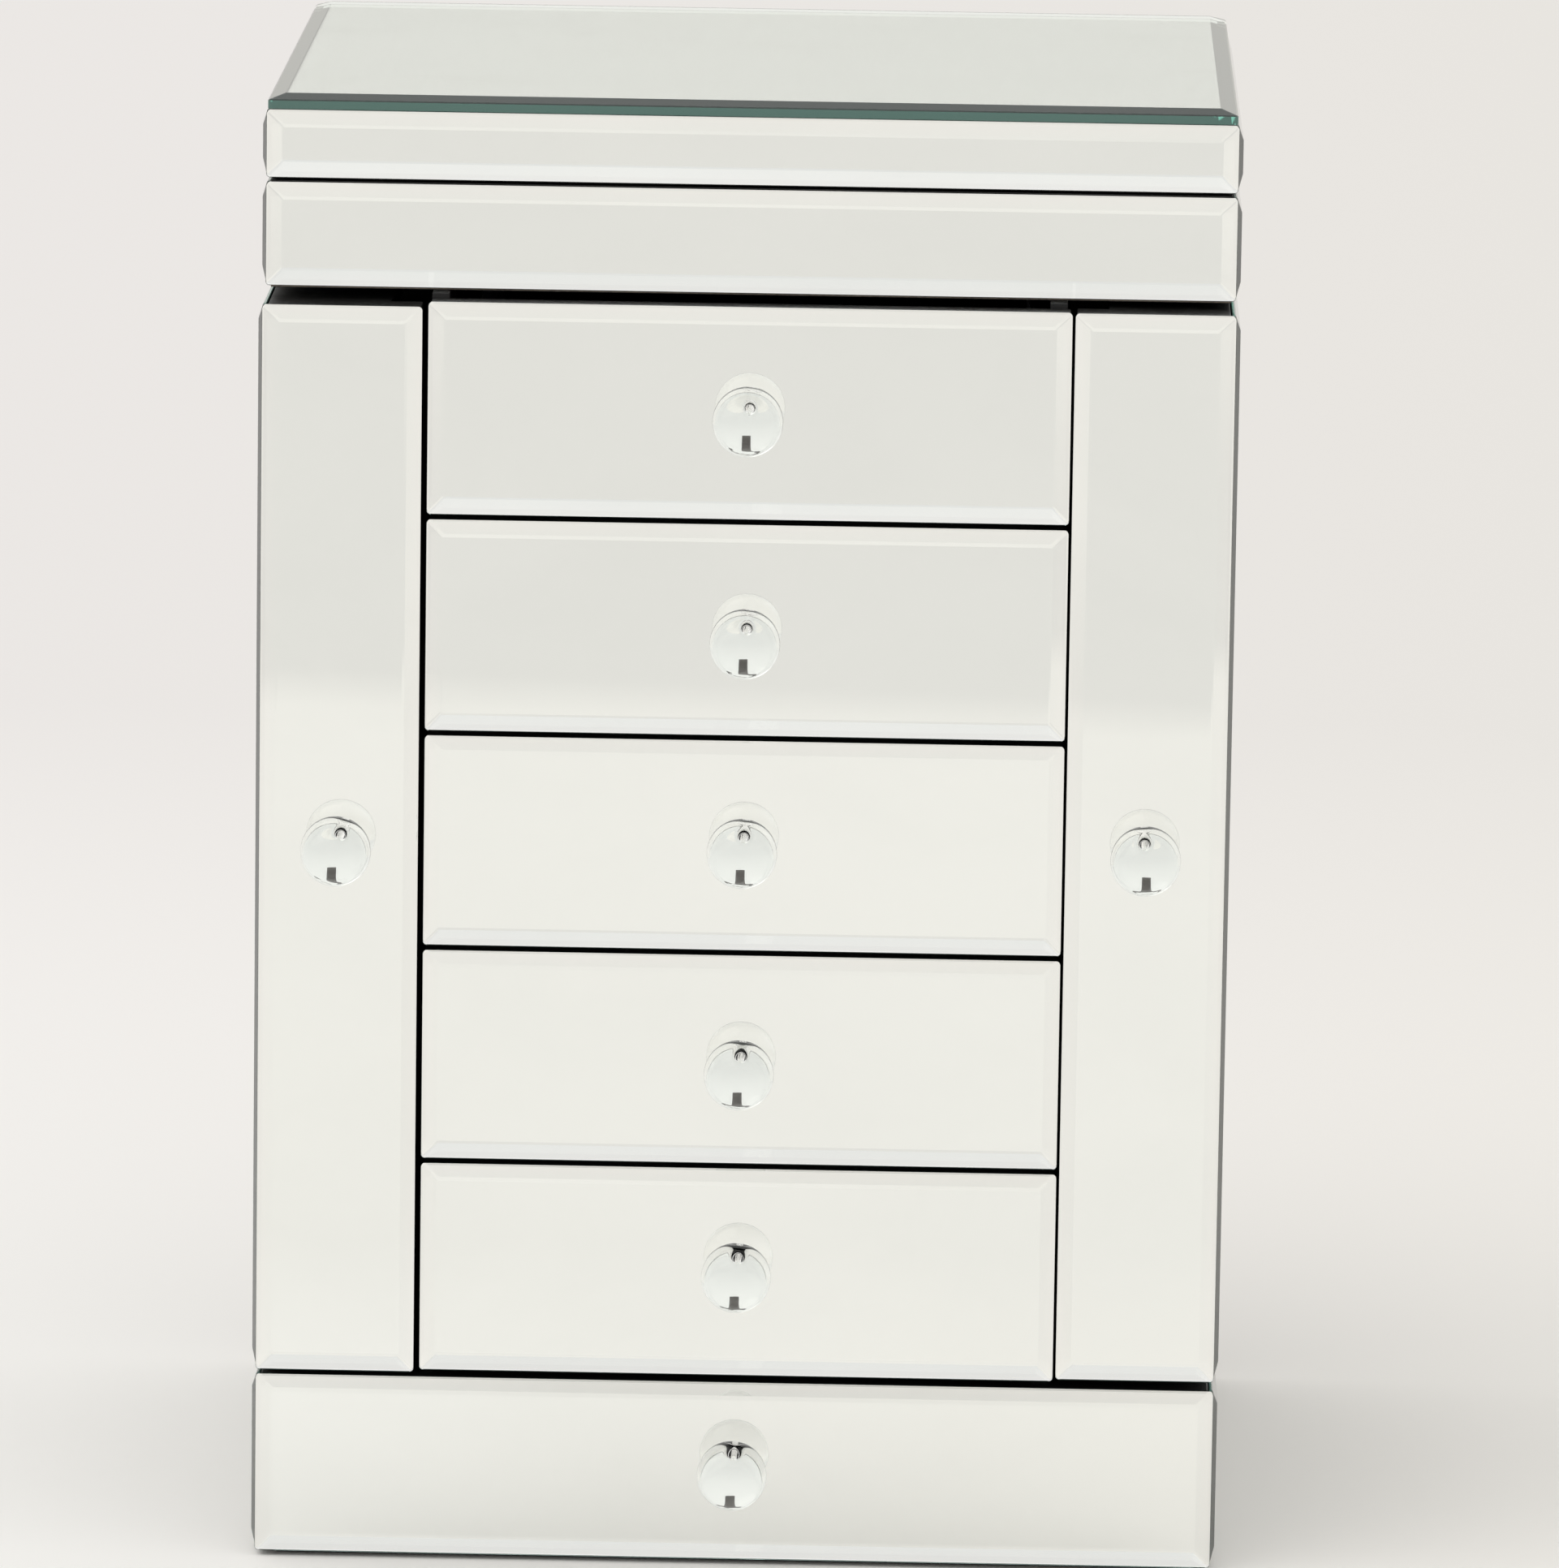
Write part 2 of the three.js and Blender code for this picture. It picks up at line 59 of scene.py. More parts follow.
class Shader:
    """A material with one Principled shader, and short ways to add nodes to it."""

    def __init__(self, name, **sockets):
        self.material = bpy.data.materials.new(name)
        self.material.use_nodes = True
        self.tree = self.material.node_tree
        self.main = self.tree.nodes["Principled BSDF"]
        self.coords = self.add("ShaderNodeTexCoord").outputs["Object"]
        for socket, value in sockets.items():
            self.main.inputs[socket.replace("_", " ")].default_value = value

    def add(self, kind, inputs=None, **settings):
        node = self.tree.nodes.new(kind)
        for key, value in settings.items():
            setattr(node, key, value)
        for key, value in (inputs or {}).items():
            if isinstance(value, bpy.types.NodeSocket):
                self.tree.links.new(value, node.inputs[key])
            else:
                node.inputs[key].default_value = value
        return node

    def link(self, output, socket):
        self.tree.links.new(output, self.main.inputs[socket])

    def stretched(self, x, y, z, source=None):
        """Object coordinates scaled along each axis."""
        inputs = {"Vector": source or self.coords, "Scale": (x, y, z)}
        return self.add("ShaderNodeMapping", inputs).outputs["Vector"]

    def noise(self, scale, detail=3.0, roughness=0.5, vector=None, distortion=0.0):
        inputs = {
            "Vector": vector or self.coords, "Scale": scale, "Detail": detail,
            "Roughness": roughness, "Distortion": distortion,
        }
        return self.add("ShaderNodeTexNoise", inputs).outputs["Fac"]

    def cells(self, scale, vector=None, randomness=1.0):
        """Distance to the nearest scattered point."""
        inputs = {"Vector": vector or self.coords, "Scale": scale, "Randomness": randomness}
        return self.add("ShaderNodeTexVoronoi", inputs).outputs["Distance"]

    def spread(self, value, low, high, from_low=0.0, from_high=1.0):
        """value carried from one range to another, held at the ends."""
        inputs = {
            "Value": value, "From Min": from_low, "From Max": from_high,
            "To Min": low, "To Max": high,
        }
        return self.add("ShaderNodeMapRange", inputs).outputs["Result"]

    def ramp(self, value, *stops):
        node = self.add("ShaderNodeValToRGB", {"Fac": value})
        elements = node.color_ramp.elements
        while len(elements) < len(stops):
            elements.new(0.5)
        for element, (at, colour) in zip(elements, stops):
            element.position = at
            element.color = (*colour, 1.0)
        return node.outputs["Color"]

    def mix(self, amount, a, b, blend="MIX"):
        node = self.add("ShaderNodeMix", data_type="RGBA", blend_type=blend)
        for index, value in ((MIX_AMOUNT, amount), (MIX_A, a), (MIX_B, b)):
            socket = node.inputs[index]
            if isinstance(value, bpy.types.NodeSocket):
                self.tree.links.new(value, socket)
            else:
                socket.default_value = value if index == MIX_AMOUNT else (*value, 1.0)
        return node.outputs[MIX_RESULT]

    def bump(self, height, strength, distance, under=None):
        inputs = {"Height": height, "Strength": strength, "Distance": distance}
        if under:
            inputs["Normal"] = under
        return self.add("ShaderNodeBump", inputs).outputs["Normal"]


def silvering(name, light, dark, smudged=0.0):
    """The silver behind the glass, with a little clouding, a few specks where it has lifted,
    and soft grey smudges drawn out sideways where it has been rubbed."""
    s = Shader(name, Metallic=1.0, Roughness=0.012)
    cloud = s.ramp(s.noise(9, 4, 0.6, s.stretched(1, 1, 1.6), 0.6), (0.35, dark), (0.62, light))
    speck = s.spread(s.cells(34), 1.0, 0.0, 0.012, 0.02)
    chosen = s.spread(s.noise(21, 1), 0.0, 1.0, 0.60, 0.64)
    amount = s.add("ShaderNodeMath", {0: speck, 1: chosen}, operation="MULTIPLY").outputs[0]
    rubbed = s.noise(17, 2, 0.5, s.stretched(0.8, 2.2, 2.2), 0.3)
    smudge = s.spread(rubbed, 0.0, smudged, 0.61, 0.68)
    silver = s.mix(smudge, cloud, (0.60, 0.60, 0.54))
    s.link(s.mix(amount, silver, (0.30, 0.31, 0.28)), "Base Color")
    return s.material


def float_glass(name):
    """Soda-lime glass, clear through its thickness and teal along its length. The faint glow
    stands for light caught between the two faces, which only long paths pick up."""
    s = Shader(name, Transmission_Weight=1.0, IOR=1.52)
    s.main.inputs["Base Color"].default_value = (1, 1, 1, 1)
    wiped = s.noise(60, 5, 0.65, s.stretched(1, 1, 3), 1.2)
    s.link(s.spread(wiped, 0.0, 0.012, 0.4, 0.75), "Roughness")
    absorb = s.add("ShaderNodeVolumeAbsorption", {"Density": 9.0})
    absorb.inputs["Color"].default_value = (0.25, 0.72, 0.63, 1)
    glow = s.add("ShaderNodeEmission", {"Strength": 0.75})
    glow.inputs["Color"].default_value = (0.78, 1.0, 0.93, 1)
    both = s.add("ShaderNodeAddShader", {0: absorb.outputs[0], 1: glow.outputs[0]}).outputs[0]
    s.tree.links.new(both, s.tree.nodes["Material Output"].inputs["Volume"])
    return s.material


def clear_glass(name):
    s = Shader(name, Transmission_Weight=1.0, IOR=1.34)
    s.main.inputs["Base Color"].default_value = (0.995, 1.0, 0.99, 1)
    s.link(s.spread(s.noise(160, 3, 0.6), 0.0, 0.012, 0.45, 0.8), "Roughness")
    return s.material


def painted_board(name, light, dark, gloss=(0.34, 0.52), raw=None):
    """Fibreboard under sprayed satin paint: orange peel, uneven gloss and settled dust. raw is
    a pair of heights between which the paint has missed and the brown board shows."""
    s = Shader(name, IOR=1.48)
    patch = s.noise(26, 4, 0.6)
    colour = s.ramp(patch, (0.32, dark), (0.68, light))
    if raw:
        height = s.add("ShaderNodeSeparateXYZ", {0: s.coords}).outputs["Z"]
        above = s.spread(height, 0.0, 1.0, raw[0], raw[0] + 0.1 * MM)
        below = s.spread(height, 1.0, 0.0, raw[1] - 0.1 * MM, raw[1])
        shown = s.add("ShaderNodeMath", {0: above, 1: below}, operation="MULTIPLY").outputs[0]
        fibre = s.ramp(s.noise(500, 3, 0.6), (0.35, (0.17, 0.13, 0.10)),
                       (0.65, (0.27, 0.215, 0.17)))
        colour = s.mix(shown, colour, fibre)
    s.link(colour, "Base Color")
    s.link(s.spread(s.noise(70, 3, 0.6), *gloss, 0.35, 0.7), "Roughness")
    peel = s.bump(s.noise(650, 2, 0.45), 0.12, 0.0003)
    s.link(s.bump(s.noise(2600, 2), 0.08, 0.0001, peel), "Normal")
    return s.material


def velvet(name, light, dark, sheen):
    """Short pile: brushed patches that lean different ways over a fine tufted grain. The leaning
    patches are painted sheen in the colour, lighter or darker from patch to patch; the tufted
    grain in the colour is the cloth's own.
    """
    s = Shader(name, Roughness=0.92, IOR=1.4, Sheen_Weight=sheen, Sheen_Roughness=0.42)
    s.main.inputs["Sheen Tint"].default_value = (0.82, 0.83, 0.9, 1)
    lean = s.noise(48, 4, 0.62, None, 0.8)
    tuft = s.noise(2400, 2, 0.6)
    # painted sheen of the leaning pile, added to the cloth's own tufted grain
    shade = s.add("ShaderNodeMath", {0: lean, 1: tuft}, operation="ADD").outputs[0]
    s.link(s.ramp(shade, (0.78, dark), (1.0, light)), "Base Color")
    pile = s.bump(tuft, 0.55, 0.0004)
    s.link(s.bump(lean, 0.25, 0.0012, pile), "Normal")
    return s.material


def brushed_metal(name, light, dark, along):
    """Metal with fine drawn lines along one axis."""
    s = Shader(name, Metallic=1.0)
    lines = s.noise(900, 3, 0.6, s.stretched(*along))
    s.link(s.ramp(lines, (0.3, dark), (0.7, light)), "Base Color")
    s.link(s.spread(s.noise(120, 3), 0.22, 0.42, 0.3, 0.7), "Roughness")
    s.link(s.bump(lines, 0.12, 0.0001), "Normal")
    return s.material


CLEAN_SILVER, CLOUDED_SILVER = (0.978, 0.965, 0.945), (0.96, 0.948, 0.928)
SATIN_BLACK, DEEP_BLACK = (0.0135, 0.013, 0.0125), (0.008, 0.0078, 0.0076)
RAW_EDGE = (440.1 * MM, 440.75 * MM)  # heights of the unpainted strip under the tray's glass

SILVER = silvering("silvering", CLEAN_SILVER, CLOUDED_SILVER)
RUBBED_SILVER = silvering("rubbed_silvering", CLEAN_SILVER, CLOUDED_SILVER, 0.1)
GLASS = float_glass("float_glass")
CLEAR = clear_glass("clear_glass")
BLACK = painted_board("black_board_paint", SATIN_BLACK, DEEP_BLACK)
RAW_EDGED = painted_board("raw_edged_board_paint", SATIN_BLACK, DEEP_BLACK, raw=RAW_EDGE)
BLACK_BACK = painted_board("black_back_paint", (0.024, 0.0235, 0.023), (0.015, 0.0147, 0.0145),
                           (0.5, 0.7))
VELVET = velvet("black_velvet", (0.021, 0.021, 0.023), (0.007, 0.007, 0.008), 0.55)
FELT = velvet("black_felt", (0.03, 0.03, 0.031), (0.013, 0.013, 0.014), 0.25)
STEEL = brushed_metal("hinge_steel_brushed", (0.62, 0.62, 0.61), (0.44, 0.44, 0.435),
                      (0.03, 1, 1))
BRASS = brushed_metal("pin_brass_turned", (0.72, 0.53, 0.27), (0.52, 0.37, 0.17), (1, 1, 0.08))


# ---------------------------------------------------------------- mesh helpers

def mesh_of(name, bm):
    """The mesh that bm describes. bm is used up."""
    mesh = bpy.data.meshes.new(name)
    bm.to_mesh(mesh)
    bm.free()
    return mesh


def finish_mesh(name, mesh, materials, body, smooth=False):
    """Makes a mesh a piece of the object, riding on its body."""
    for entry in materials:
        mesh.materials.append(entry)
    for face in mesh.polygons:
        face.use_smooth = smooth
    piece = bpy.data.objects.new(name, mesh)
    SCENE.collection.objects.link(piece)
    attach(piece, body)
    return piece


def rounded_outline(width, height, radius, steps):
    """Corner points of a rectangle with rounded corners, counter-clockwise about its centre."""
    points = []
    for corner in range(4):
        sx = 1 if corner in (0, 3) else -1
        sy = 1 if corner < 2 else -1
        for i in range(steps + 1):
            angle = (corner + i / steps) * math.pi / 2
            points.append((sx * (width / 2 - radius) + radius * math.cos(angle),
                           sy * (height / 2 - radius) + radius * math.sin(angle)))
    return points


def lofted(name, rings, place, face_materials):
    """A closed solid through rings of equal length. The first and last rings are capped.
    face_materials gives the material index of the first cap, each band, and the last cap."""
    bm = bmesh.new()
    made = [[bm.verts.new(place @ Vector(p)) for p in ring] for ring in rings]
    count = len(made[0])
    first = bm.faces.new(list(reversed(made[0])))
    first.material_index = face_materials[0]
    for band, (low, high) in enumerate(zip(made, made[1:])):
        for i in range(count):
            j = (i + 1) % count
            face = bm.faces.new((low[i], low[j], high[j], high[i]))
            face.material_index = face_materials[band + 1]
    last = bm.faces.new(made[-1])
    last.material_index = face_materials[-1]
    return mesh_of(name, bm)


# ---------------------------------------------------------------- mirror panes

FACING = {  # along, upwards, outwards
    "front": (Vector((1, 0, 0)), Vector((0, 0, 1)), Vector((0, -1, 0))),
    "left": (Vector((0, -1, 0)), Vector((0, 0, 1)), Vector((-1, 0, 0))),
    "right": (Vector((0, 1, 0)), Vector((0, 0, 1)), Vector((1, 0, 0))),
    "top": (Vector((1, 0, 0)), Vector((0, 1, 0)), Vector((0, 0, 1))),
}
BEVEL = 5.8 * MM  # width of the ground border
DROP = 1.8 * MM  # how far it falls towards the edge
CORNER = 1.3 * MM
CORNER_STEPS = 6
ARRIS = 0.6 * MM  # the rounded-off outer edge
BACK_ARRIS = 0.25 * MM  # on the back edge, and the run-in below the outer one


def pane(node, facing):
    """A bevelled mirror in the space of its CAD node: clear glass silvered on its back."""
    lo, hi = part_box(node)
    along, upwards, outwards = FACING[facing]
    size = hi - lo
    width, height, thick = (abs(size.dot(axis)) for axis in (along, upwards, outwards))
    middle = (lo + hi) / 2 - outwards * thick / 2
    place = Matrix.Translation(middle) @ Matrix((along, upwards, outwards)).transposed().to_4x4()
    edge = thick - DROP

    def ring(inset, level, radius):
        outline = rounded_outline(width - 2 * inset, height - 2 * inset, radius, CORNER_STEPS)
        return [(x, y, level) for x, y in outline]

    rings = [
        ring(BACK_ARRIS, 0, CORNER - BACK_ARRIS),
        ring(0, BACK_ARRIS, CORNER),
        ring(0, edge - BACK_ARRIS, CORNER),
        ring(ARRIS, edge + DROP * ARRIS / BEVEL, CORNER - ARRIS / 2),
        ring(BEVEL, thick, CORNER / 4),
    ]
    mesh = lofted(f"{node}_pane", rings, place, [1, 0, 0, 0, 0, 0])
    silver = RUBBED_SILVER if facing == "top" else SILVER
    piece = finish_mesh(f"{node}_pane", mesh, [GLASS, silver], BODY_OF[node])
    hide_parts(node)


for name in NODES:
    if "_mirror" in name:
        side = name.rsplit("_", 1)[-1]
        if side == "side":
            side = "left" if "wing_left" in name else "right"
        pane(name, side if side in FACING else "front")


# ---------------------------------------------------------------- knobs

BALL_R = 12 * MM
NECK_R = 0.25 * MM  # thin, so that it hardly shows through the ball
FOOT_R = 0.6 * MM
KNOB_SIDES, BALL_STEPS = 64, 22


def knob(node):
    """A clear ball on a thin neck with a small foot, turned about the y axis."""
    lo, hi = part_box(node)
    centre_x, centre_z = (lo.x + hi.x) / 2, (lo.z + hi.z) / 2
    tip, foot = lo.y, hi.y
    ball = tip + BALL_R
    reach = foot - ball
    profile = [(FOOT_R - 0.1 * MM, 0), (FOOT_R, 0.1 * MM), (FOOT_R, 0.3 * MM),
               (FOOT_R - 0.15 * MM, 0.5 * MM), (NECK_R + 0.1 * MM, 0.9 * MM), (NECK_R, 1.2 * MM)]
    meet = math.asin(NECK_R / BALL_R)
    for i in range(1, BALL_STEPS):
        angle = meet + (math.pi - meet) * i / BALL_STEPS
        profile.append((BALL_R * math.sin(angle), reach - BALL_R * math.cos(angle)))
    turns = [2 * math.pi * k / KNOB_SIDES for k in range(KNOB_SIDES)]
    bm = bmesh.new()
    rings = [[bm.verts.new((centre_x + r * math.cos(turn), foot - h,
                            centre_z + r * math.sin(turn))) for turn in turns]
             for r, h in profile]
    base = bm.verts.new((centre_x, foot, centre_z))
    end = bm.verts.new((centre_x, tip, centre_z))
    for k in range(KNOB_SIDES):
        j = (k + 1) % KNOB_SIDES
        bm.faces.new((base, rings[0][j], rings[0][k]))
        bm.faces.new((end, rings[-1][k], rings[-1][j]))
        for low, high in zip(rings, rings[1:]):
            bm.faces.new((low[k], low[j], high[j], high[k]))
    bmesh.ops.recalc_face_normals(bm, faces=bm.faces)
    piece = finish_mesh(f"{node}_glass", mesh_of(f"{node}_glass", bm), [CLEAR], BODY_OF[node],
                        True)
    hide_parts(node)


for name in NODES:
    if name.endswith("_knob"):
        knob(name)


# ---------------------------------------------------------------- CAD boards and metal

METAL_EDGE, BOX_EDGE, BOARD_EDGE, PANEL_EDGE = 0.15 * MM, 0.2 * MM, 0.4 * MM, 0.5 * MM
WELD_GAP = 0.01 * MM
SHARP = math.radians(40)  # a corner sharper than this is softened


def dress(node, surface, softened):
    """Gives a CAD node its finish, and takes the knife edge off its corners."""
    piece = NODES[node]
    for entry in piece.material_slots:
        entry.material = surface
    weld = piece.modifiers.new("weld", "WELD")
    weld.merge_threshold = WELD_GAP
    bevel = piece.modifiers.new("edges", "BEVEL")
    bevel.width = softened
    bevel.segments = 2
    bevel.limit_method = "ANGLE"
    bevel.angle_limit = SHARP


for name, piece in NODES.items():
    if piece.hide_render:
        continue
    if name.startswith("lid_hinge"):
        dress(name, STEEL, METAL_EDGE)
    elif "_pin_" in name:
        dress(name, BRASS, METAL_EDGE)
    elif name == "base_felt":
        dress(name, FELT, BOARD_EDGE)
    elif name == "tray_box":
        dress(name, RAW_EDGED, BOX_EDGE)
    elif name == "back_panel":
        dress(name, BLACK_BACK, PANEL_EDGE)
    else:
        dress(name, BLACK, BOARD_EDGE)


# ---------------------------------------------------------------- velvet linings and pads

LINING_WALL, LINING_FLOOR, FLOOR_FILLET = 1.3 * MM, 1.6 * MM, 3 * MM
OUTER_CORNER, LEAST_CORNER = 4 * MM, 1.5 * MM
SEAT_EDGE = 0.4 * MM  # round the outside of the bottom
LIP_STEPS, FILLET_STEPS = 6, 4


def lining(name, body, across, deep, heights):
    """An open velvet tray: soft top edge, rounded corners and a fillet round its floor."""
    (x0, x1), (y0, y1), (z0, z1) = across, deep, heights
    place = Matrix.Translation(((x0 + x1) / 2, (y0 + y1) / 2, z0))
    width, depth, tall = x1 - x0, y1 - y0, z1 - z0

    def ring(inset, level):
        corner = max(OUTER_CORNER - inset, LEAST_CORNER)
        outline = rounded_outline(width - 2 * inset, depth - 2 * inset, corner, CORNER_STEPS)
        return [(x, y, level) for x, y in outline]

    lip = LINING_WALL / 2
    rings = [ring(SEAT_EDGE, 0), ring(0, SEAT_EDGE), ring(0, tall - lip)]
    for step in range(1, LIP_STEPS):
        angle = math.pi * step / LIP_STEPS
        rings.append(ring(lip * (1 - math.cos(angle)), tall - lip * (1 - math.sin(angle))))
    rings.append(ring(LINING_WALL, LINING_FLOOR + FLOOR_FILLET))
    for step in range(1, FILLET_STEPS + 1):
        angle = math.pi / 2 * step / FILLET_STEPS
        rings.append(ring(LINING_WALL + FLOOR_FILLET * (1 - math.cos(angle)),
                          LINING_FLOOR + FLOOR_FILLET * (1 - math.sin(angle))))
    mesh = lofted(name, rings, place, [0] * (len(rings) + 1))
    finish_mesh(name, mesh, [VELVET], body, True)


PILLOW_WAVES = 7
PILLOW_CELLS = 72, 48
STITCH_WIDTH = 1.6 * MM
STITCH_DIP, VALLEY_DIP = 0.45, 0.55  # shares of the crown, at the thread and on the way to it
RIM_SHARE = 0.35  # thickness left at the edge, as a share of the whole


def pillow(name, body, place, size, crown, channels=(0, 0), edge=4.0 * MM):
    """A flat-backed pad with a crowned face, its back on z = 0 of place, sewn down in channels."""
    width, depth, thick = size
    across, along = PILLOW_CELLS
    rng = random.Random(sum(ord(c) for c in name))
    waves = [(rng.uniform(20, 90), rng.uniform(20, 90), rng.uniform(0, 6.3))
             for _ in range(PILLOW_WAVES)]

    def height(x, y):
        """Thickness of the pad at a point measured from one corner."""
        near = min(x, width - x, y, depth - y)
        rise = math.sqrt(max(0.0, 1 - (1 - min(near / edge, 1)) ** 2))
        seam = 0.0
        for span, count, at in ((width, channels[0], x), (depth, channels[1], y)):
            if count:
                pitch = span / count
                off = abs((at + pitch / 2) % pitch - pitch / 2)
                if min(at, span - at) > pitch / 2:
                    thread = STITCH_DIP * math.exp(-(off / STITCH_WIDTH) ** 2)
                    seam = max(seam, thread + VALLEY_DIP * (1 - 2 * off / pitch) ** 2)
        ripple = sum(math.sin(x * a + y * b + c) for a, b, c in waves) / PILLOW_WAVES
        plain = thick * (RIM_SHARE + (1 - RIM_SHARE) * rise)
        return plain + crown * rise * (ripple - 1) / 2 - crown * seam * rise

    bm = bmesh.new()
    top, under = [], []
    for j in range(along + 1):
        for i in range(across + 1):
            x, y = width * i / across, depth * j / along
            spot = (x - width / 2, y - depth / 2)
            top.append(bm.verts.new(place @ Vector((*spot, height(x, y)))))
            under.append(bm.verts.new(place @ Vector((*spot, 0))))
    row = across + 1
    for j in range(along):
        for i in range(across):
            a = j * row + i
            bm.faces.new((top[a], top[a + 1], top[a + row + 1], top[a + row]))
            bm.faces.new((under[a + row], under[a + row + 1], under[a + 1], under[a]))
    rim = ([i for i in range(across)] + [j * row + across for j in range(along)]
           + [along * row + i for i in range(across, 0, -1)]
           + [j * row for j in range(along, 0, -1)])
    for a, b in zip(rim, rim[1:] + rim[:1]):
        bm.faces.new((under[a], under[b], top[b], top[a]))
    piece = finish_mesh(name, mesh_of(name, bm), [VELVET], body, True)


# Clearances are from the outside of the board box that holds the lining or pad.
BEHIND_FRONT, BEFORE_BACK = 12.3 * MM, 5.3 * MM
DRAWER_HALF, DRAWER_UNDER, DRAWER_BELOW_RIM = 95.7 * MM, 3.7 * MM, 12.0 * MM
BASE_HALF, BASE_UNDER, BASE_BELOW_RIM = 148 * MM, 3.2 * MM, 6.0 * MM
LID_BOARD, LID_RIMS, LID_PAD_WIDTH = 6.2 * MM, 19 * MM, 306 * MM
TRAY_BAYS = (("left", -153.6, -54.0), ("middle", -50.0, 50.0), ("right", 54.0, 153.6))  # in mm
WING_WALL_X = 154.1 * MM  # inner face of the side board
WING_STILE, WING_BACK, WING_FOOT, WING_HEAD = 16.5 * MM, 1.5 * MM, 9.5 * MM, 52.5 * MM
THIN_PAD_EDGE = 3.0 * MM

for name in NODES:
    if name.startswith("drawer_") and name.endswith("_box"):
        lo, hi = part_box(name)
        lining(name.replace("_box", "_lining"), BODY_OF[name], (-DRAWER_HALF, DRAWER_HALF),
               (lo.y + BEHIND_FRONT, hi.y - BEFORE_BACK),
               (lo.z + DRAWER_UNDER, hi.z - DRAWER_BELOW_RIM))
lo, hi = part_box("base_drawer_box")
lining("base_drawer_lining", "base_drawer", (-BASE_HALF, BASE_HALF),
       (lo.y + BEHIND_FRONT, hi.y - BEFORE_BACK), (lo.z + BASE_UNDER, hi.z - BASE_BELOW_RIM))

lo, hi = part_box("lid_frame")
pillow("lid_pad", "lid",
       Matrix.Translation((0, (lo.y + hi.y) / 2, hi.z - LID_BOARD))
       @ Matrix.Rotation(math.pi, 4, "X"),
       (LID_PAD_WIDTH, hi.y - lo.y - LID_RIMS, 7.0 * MM), 4.0 * MM, (6, 5))

lo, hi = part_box("tray_divider")
y0, y1 = lo.y + 3.6 * MM, hi.y - 0.4 * MM
for word, x0, x1 in TRAY_BAYS:
    pillow(f"tray_pad_{word}", "case",
           Matrix.Translation(((x0 + x1) / 2 * MM, (y0 + y1) / 2, lo.z)),
           ((x1 - x0) * MM, y1 - y0, 3.0 * MM), 0.8 * MM, edge=THIN_PAD_EDGE)

for word, sign in (("left", -1), ("right", 1)):
    lo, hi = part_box(f"wing_{word}_frame")
    y0, y1 = lo.y + WING_STILE, hi.y - WING_BACK
    z0, z1 = lo.z + WING_FOOT, hi.z - WING_HEAD
    turn = Matrix((Vector((0, -sign, 0)), Vector((0, 0, 1)), Vector((-sign, 0, 0)))).transposed()
    middle = (sign * WING_WALL_X, (y0 + y1) / 2, (z0 + z1) / 2)
    pillow(f"wing_{word}_side_pad", f"wing_{word}", Matrix.Translation(middle) @ turn.to_4x4(),
           (y1 - y0, z1 - z0, 2.2 * MM), 0.7 * MM, (3, 5), edge=THIN_PAD_EDGE)


# ---------------------------------------------------------------- ring cushion

GATHER = 7 * MM  # length of the drawn-in end of a roll
ROLL_SEED = 11


def ring_cushion():
    """Four stuffed velvet rolls sewn side by side, a little uneven, gathered at their ends."""
    lo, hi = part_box("ring_cushion")
    rolls, around, along = 4, 14, 160
    pitch = (hi.y - lo.y) / rolls
    foot = 8 * MM
    rise = hi.z - lo.z - foot
    rng = random.Random(ROLL_SEED)
    waves = [[(rng.uniform(40, 260), rng.uniform(0, 6.3), rng.uniform(0.2, 1)) for _ in range(6)]
             for _ in range(rolls)]
    bm = bmesh.new()
    sections = []
    for i in range(along + 1):
        t = i / along
        x = lo.x + 0.6 * MM + (hi.x - lo.x - 1.2 * MM) * t
        inset = min(x - lo.x, hi.x - x)
        gather = math.sqrt(max(0.0, 1 - (1 - min(inset / GATHER, 1)) ** 2))
        points = [(lo.y + 0.4 * MM, lo.z), (lo.y + 0.2 * MM, lo.z + foot * 0.9)]
        for roll in range(rolls):
            middle = lo.y + (roll + 0.5) * pitch
            plump = sum(h * math.sin(x * f + p) for f, p, h in waves[roll]) / 6
            swell = (0.93 + 0.05 * plump) * (0.45 + 0.55 * gather)
            for k in range(around + (roll == rolls - 1)):
                angle = math.pi * (1 - k / around)
                crease = 0.5 * MM * math.sin(x * 900 + roll * 2 + angle * 3) * (1 - gather)
                points.append((middle + math.cos(angle) * pitch / 2 * 0.985,
                               lo.z + foot + math.sin(angle) * (rise * swell + crease)))
        points.append((hi.y - 0.4 * MM, lo.z))
        sections.append([bm.verts.new((x, y, z)) for y, z in points])
    count = len(sections[0])
    for a, b in zip(sections, sections[1:]):
        for k in range(count):
            j = (k + 1) % count
            bm.faces.new((a[k], a[j], b[j], b[k]))
    bm.faces.new(list(reversed(sections[0])))
    bm.faces.new(sections[-1])
    bmesh.ops.recalc_face_normals(bm, faces=bm.faces)
    piece = finish_mesh("ring_rolls", mesh_of("ring_rolls", bm), [VELVET], "case", True)
    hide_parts("ring_cushion")


ring_cushion()


# ---------------------------------------------------------------- screws

# Sizes of a screw head as shares of its radius: (radius, level) of each ring from its seat up,
# then the cross recess.
HEAD_PROFILE = ((0.97, 0), (1.0, 0.08), (0.9, 0.2), (0.68, 0.28))
HEAD_TOP, CROSS_FLOOR, CROSS_TAPER, CROSS_REACH, CROSS_ARM = 0.3, 0.1, 0.8, 0.56, 0.15


